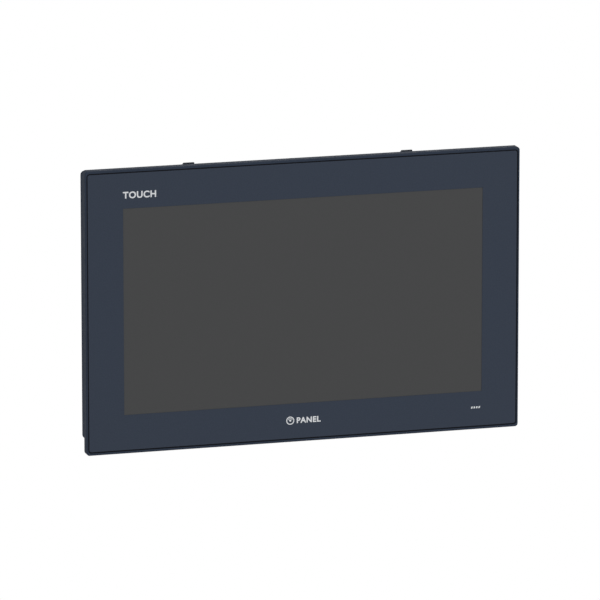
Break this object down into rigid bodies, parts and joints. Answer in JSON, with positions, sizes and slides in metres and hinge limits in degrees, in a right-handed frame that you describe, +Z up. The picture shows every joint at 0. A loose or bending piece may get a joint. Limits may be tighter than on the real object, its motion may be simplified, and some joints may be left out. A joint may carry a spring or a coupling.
{
  "type": "panel-mounted touch operator terminal",
  "caption": "Flush-mounted industrial touch panel: slim bezel with a matt film border and wide screen, gasketed flange, sheet-metal housing, sprung retaining catches and downward connectors.",
  "frame": {"origin": "centre of the mounting gasket's rear face, the plane that meets the cabinet door", "axes": "+X to the operator's right along the long side, +Y from the front into the cabinet, +Z up"},
  "size_m": [0.42, 0.0623, 0.269],
  "materials": {
    "painted_bezel": "fine matt slate paint on die-cast alloy",
    "painted_housing": "textured slate powder coat",
    "painted_plastic": "moulded, painted to match the cover",
    "printed_film": "fine-grained printed film",
    "matt_screen_film": "anti-glare, semi-matt",
    "clear_glass": "polished, dark edge",
    "display_glass": "polished dark glass",
    "clear_acrylic": "clear polished acrylic",
    "diffuser_film": "milky",
    "black_foam": "closed-cell, matt",
    "amber_flex": "smooth amber film",
    "green_board": "solder-masked board",
    "white_board": "white solder mask",
    "bare_sheet": "pressed stainless sheet",
    "zinc_steel": "bright zinc plate",
    "zinc_plate": "zinc-coated sheet",
    "black_steel": "black oxide",
    "spring_steel": "drawn wire",
    "brass": "machined",
    "chip_metal": "laminate with a polished die",
    "grey_pad": "soft",
    "black_aluminium": "black anodised extrusion",
    "black_plastic": "moulded, fine spark texture",
    "rocker_plastic": "moulded, satin",
    "catch_plastic": "moulded glass-filled nylon",
    "green_plastic": "moulded",
    "port_shell": "nickel-plated shell",
    "coin_steel": "polished can",
    "label_film": "silver-grey film, blank"
  },
  "bodies": {
    "panel": {"backup_battery": "coin_steel", "battery_holder": "black_plastic", "board_screws": "zinc_steel", "board_sockets": "black_plastic", "board_standoffs": "brass", "card_door_pin": "zinc_steel", "catch_brackets": "zinc_steel", "catch_pins": "zinc_steel", "catch_spring_left": "spring_steel", "catch_spring_right": "spring_steel", "com_ports": "port_shell", "cover_screws": "black_steel", "cpu_package": "chip_metal", "dc_socket": "black_plastic", "decor_film": "printed_film", "display_cables": "amber_flex", "display_port": "port_shell", "front_bezel": "painted_bezel", "ground_screw": "zinc_steel", "heat_sink": "black_aluminium", "heat_sink_screws": "zinc_steel", "housing_screws": "black_steel", "io_plate": "zinc_plate", "jack_screws": "zinc_steel", "lan_ports": "port_shell", "lcd_back_tray": "bare_sheet", "lcd_bracket_left": "zinc_plate", "lcd_bracket_right": "zinc_plate", "lcd_cell": "display_glass", "lcd_driver_board": "green_board", "lcd_front_frame": "bare_sheet", "lcd_gasket": "black_foam", "lcd_screws": "zinc_steel", "led_strip": "white_board", "light_guide": "clear_acrylic", "mainboard": "green_board", "memory_module": "green_board", "mounting_gasket": "black_foam", "optical_films": "diffuser_film", "rating_plate": "label_film", "rear_cover": "painted_housing", "rear_housing": "painted_housing", "reset_switch": "black_plastic", "rocker_housing": "black_plastic", "small_screws": "zinc_steel", "storage_module": "green_board", "thermal_pad": "grey_pad", "touch_controller": "green_board", "touch_film": "matt_screen_film", "touch_glass": "clear_glass", "touch_tail": "amber_flex", "touch_tape": "black_foam", "usb_ports": "port_shell"},
    "catch_left": {"catch_left": "catch_plastic"},
    "catch_right": {"catch_right": "catch_plastic"},
    "dc_plug": {"dc_plug": "green_plastic", "dc_plug_screws": "zinc_steel"},
    "power_rocker": {"power_rocker": "rocker_plastic"},
    "reset_button": {"reset_button": "rocker_plastic"},
    "card_door": {"card_door": "painted_plastic"}
  },
  "joints": [
    {"name": "catch_left_pivot", "type": "hinge", "parent": "panel", "child": "catch_left", "pos_m": [-0.1055, 0.024, 0.1232], "axis": [1, 0, 0], "range_deg": [0, 22], "stiffness_Nm_per_rad": 0.05, "springref_deg": -20.05, "deforming": ["catch_spring_left"]},
    {"name": "catch_right_pivot", "type": "hinge", "parent": "panel", "child": "catch_right", "pos_m": [0.1055, 0.024, 0.1232], "axis": [1, 0, 0], "range_deg": [0, 22], "stiffness_Nm_per_rad": 0.05, "springref_deg": -20.05, "deforming": ["catch_spring_right"]},
    {"name": "power_rocker_pivot", "type": "hinge", "parent": "panel", "child": "power_rocker", "pos_m": [-0.122, 0.041, -0.094], "axis": [0, 1, 0], "range_deg": [0, 16]},
    {"name": "reset_button_slide", "type": "slide", "parent": "panel", "child": "reset_button", "axis": [0, 0, 1], "range_m": [0, 0.0008], "stiffness_N_per_m": 400, "springref_m": -0.0006},
    {"name": "dc_plug_slide", "type": "slide", "parent": "panel", "child": "dc_plug", "axis": [0, 0, -1], "range_m": [0, 0.012]},
    {"name": "card_door_hinge", "type": "hinge", "parent": "panel", "child": "card_door", "pos_m": [0.1522, 0.0342, 0], "axis": [0, 0, -1], "range_deg": [0, 100]}
  ]
}
